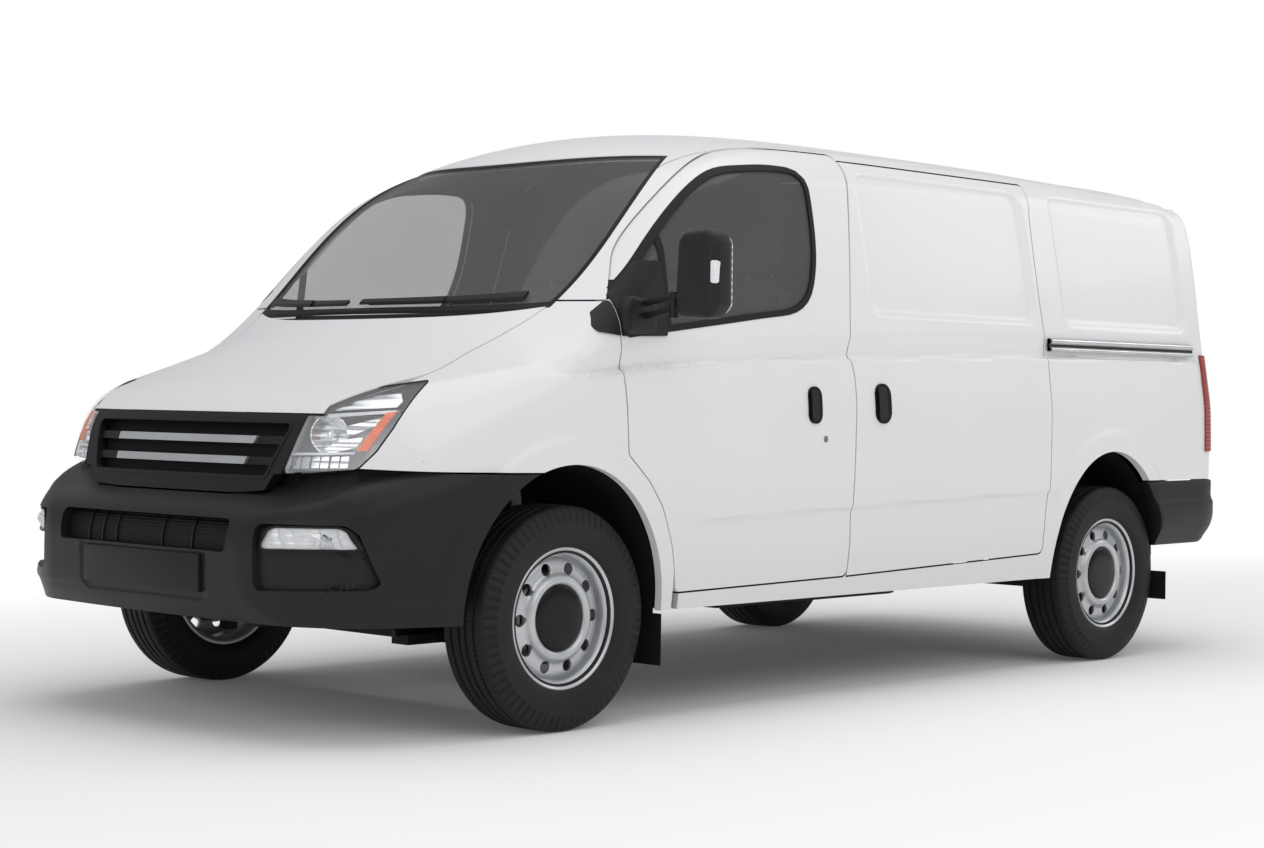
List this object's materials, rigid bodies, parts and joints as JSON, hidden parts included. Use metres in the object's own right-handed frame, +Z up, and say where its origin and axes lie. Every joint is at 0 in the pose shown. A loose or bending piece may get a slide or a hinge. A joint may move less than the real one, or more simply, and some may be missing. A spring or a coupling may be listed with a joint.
{
  "type": "panel van",
  "caption": "Panel van with a short bonnet, hinged front and rear doors, a fixed sliding door, steered front wheels and a hollow cab and load space.",
  "frame": {"origin": "on the ground under the middle of the van's length and width", "axes": "+X forwards, +Y to the van's left, +Z up"},
  "size_m": [4.9501, 2.3359, 2.0429],
  "materials": {
    "body_paint": "gloss",
    "bumper_plastic": "textured",
    "lamp_lens": "clear",
    "tail_lens": "gloss",
    "window_glass": "tinted",
    "tyre": "matt",
    "wheel_paint": "satin",
    "chassis_steel": "satin",
    "bare_steel": "machined",
    "exhaust_steel": "dull",
    "engine_metal": "cast",
    "rail_aluminium": "satin",
    "cab_plastic": "grained",
    "seat_fabric": "woven",
    "tank_plastic": "smooth",
    "wiper_rubber": "matt"
  },
  "bodies": {
    "body": {"roof_panel": "body_paint", "body_side_left": "body_paint", "body_side_right": "body_paint", "sliding_door": "body_paint", "wings": "body_paint", "headlamps": "lamp_lens", "grille": "bumper_plastic", "windscreen": "window_glass", "scuttle": "bumper_plastic", "front_bumper": "bumper_plastic", "fog_lamps": "lamp_lens", "rear_bumper": "bumper_plastic", "tail_lamps": "tail_lens", "slide_rail": "rail_aluminium", "arch_liners": "bumper_plastic", "floor": "chassis_steel", "underframe": "chassis_steel", "front_suspension": "chassis_steel", "rear_axle": "chassis_steel", "exhaust": "exhaust_steel", "fuel_tank": "tank_plastic", "engine": "engine_metal", "bulkhead": "cab_plastic", "seats": "seat_fabric", "dashboard": "cab_plastic", "wipers": "wiper_rubber"},
    "door_front_left": {"front_door_left": "body_paint", "door_glass_left": "window_glass", "mirror_left": "bumper_plastic"},
    "door_rear_left": {"rear_door_left": "body_paint"},
    "steer_left": {"knuckle_left": "bare_steel"},
    "door_front_right": {"front_door_right": "body_paint", "door_glass_right": "window_glass"},
    "door_rear_right": {"rear_door_right": "body_paint"},
    "steer_right": {"knuckle_right": "bare_steel"},
    "bonnet_lid": {"bonnet": "body_paint"},
    "steering": {"steering_wheel": "cab_plastic"},
    "wheel_front_left": {"tyre_front_left": "tyre", "rim_front_left": "wheel_paint"},
    "wheel_front_right": {"tyre_front_right": "tyre", "rim_front_right": "wheel_paint"},
    "wheel_rear_left": {"tyre_rear_left": "tyre", "rim_rear_left": "wheel_paint"},
    "wheel_rear_right": {"tyre_rear_right": "tyre", "rim_rear_right": "wheel_paint"}
  },
  "joints": [
    {"name": "wheel_front_left_spin", "type": "hinge", "parent": "steer_left", "child": "wheel_front_left", "pos_m": [1.55, 0.86, 0.352], "axis": [0, 1, 0], "continuous": true},
    {"name": "wheel_front_right_spin", "type": "hinge", "parent": "steer_right", "child": "wheel_front_right", "pos_m": [1.55, -0.86, 0.352], "axis": [0, 1, 0], "continuous": true},
    {"name": "wheel_rear_left_spin", "type": "hinge", "parent": "body", "child": "wheel_rear_left", "pos_m": [-1.55, 0.86, 0.352], "axis": [0, 1, 0], "continuous": true},
    {"name": "wheel_rear_right_spin", "type": "hinge", "parent": "body", "child": "wheel_rear_right", "pos_m": [-1.55, -0.86, 0.352], "axis": [0, 1, 0], "continuous": true},
    {"name": "steer_left_turn", "type": "hinge", "parent": "body", "child": "steer_left", "pos_m": [1.55, 0.795, 0.225], "axis": [0, -0.165, 0.9863], "range_deg": [-35, 35]},
    {"name": "door_front_left_swing", "type": "hinge", "parent": "body", "child": "door_front_left", "pos_m": [1.337, 1.001, 0.9], "axis": [0, 0, -1], "range_deg": [0, 70]},
    {"name": "door_rear_left_swing", "type": "hinge", "parent": "body", "child": "door_rear_left", "pos_m": [-2.352, 0.879, 1.2], "axis": [0, 0, -1], "range_deg": [0, 180]},
    {"name": "steer_right_turn", "type": "hinge", "parent": "body", "child": "steer_right", "pos_m": [1.55, -0.795, 0.225], "axis": [0, 0.165, 0.9863], "range_deg": [-35, 35]},
    {"name": "door_front_right_swing", "type": "hinge", "parent": "body", "child": "door_front_right", "pos_m": [1.337, -1.001, 0.9], "axis": [0, 0, 1], "range_deg": [0, 70]},
    {"name": "door_rear_right_swing", "type": "hinge", "parent": "body", "child": "door_rear_right", "pos_m": [-2.352, -0.879, 1.2], "axis": [0, 0, 1], "range_deg": [0, 180]},
    {"name": "bonnet_lift", "type": "hinge", "parent": "body", "child": "bonnet_lid", "pos_m": [1.436, 0, 1.338], "axis": [0, -1, 0], "range_deg": [0, 50]},
    {"name": "steering_wheel_turn", "type": "hinge", "parent": "body", "child": "steering", "pos_m": [0.69, -0.455, 1.15], "axis": [-0.42, 0, 0.9075], "range_deg": [-540, 540]}
  ],
  "couplings": [
    {"joint": "steer_right_turn", "follows": "steer_left_turn", "ratio": 1},
    {"joint": "steering_wheel_turn", "follows": "steer_left_turn", "ratio": 15}
  ]
}
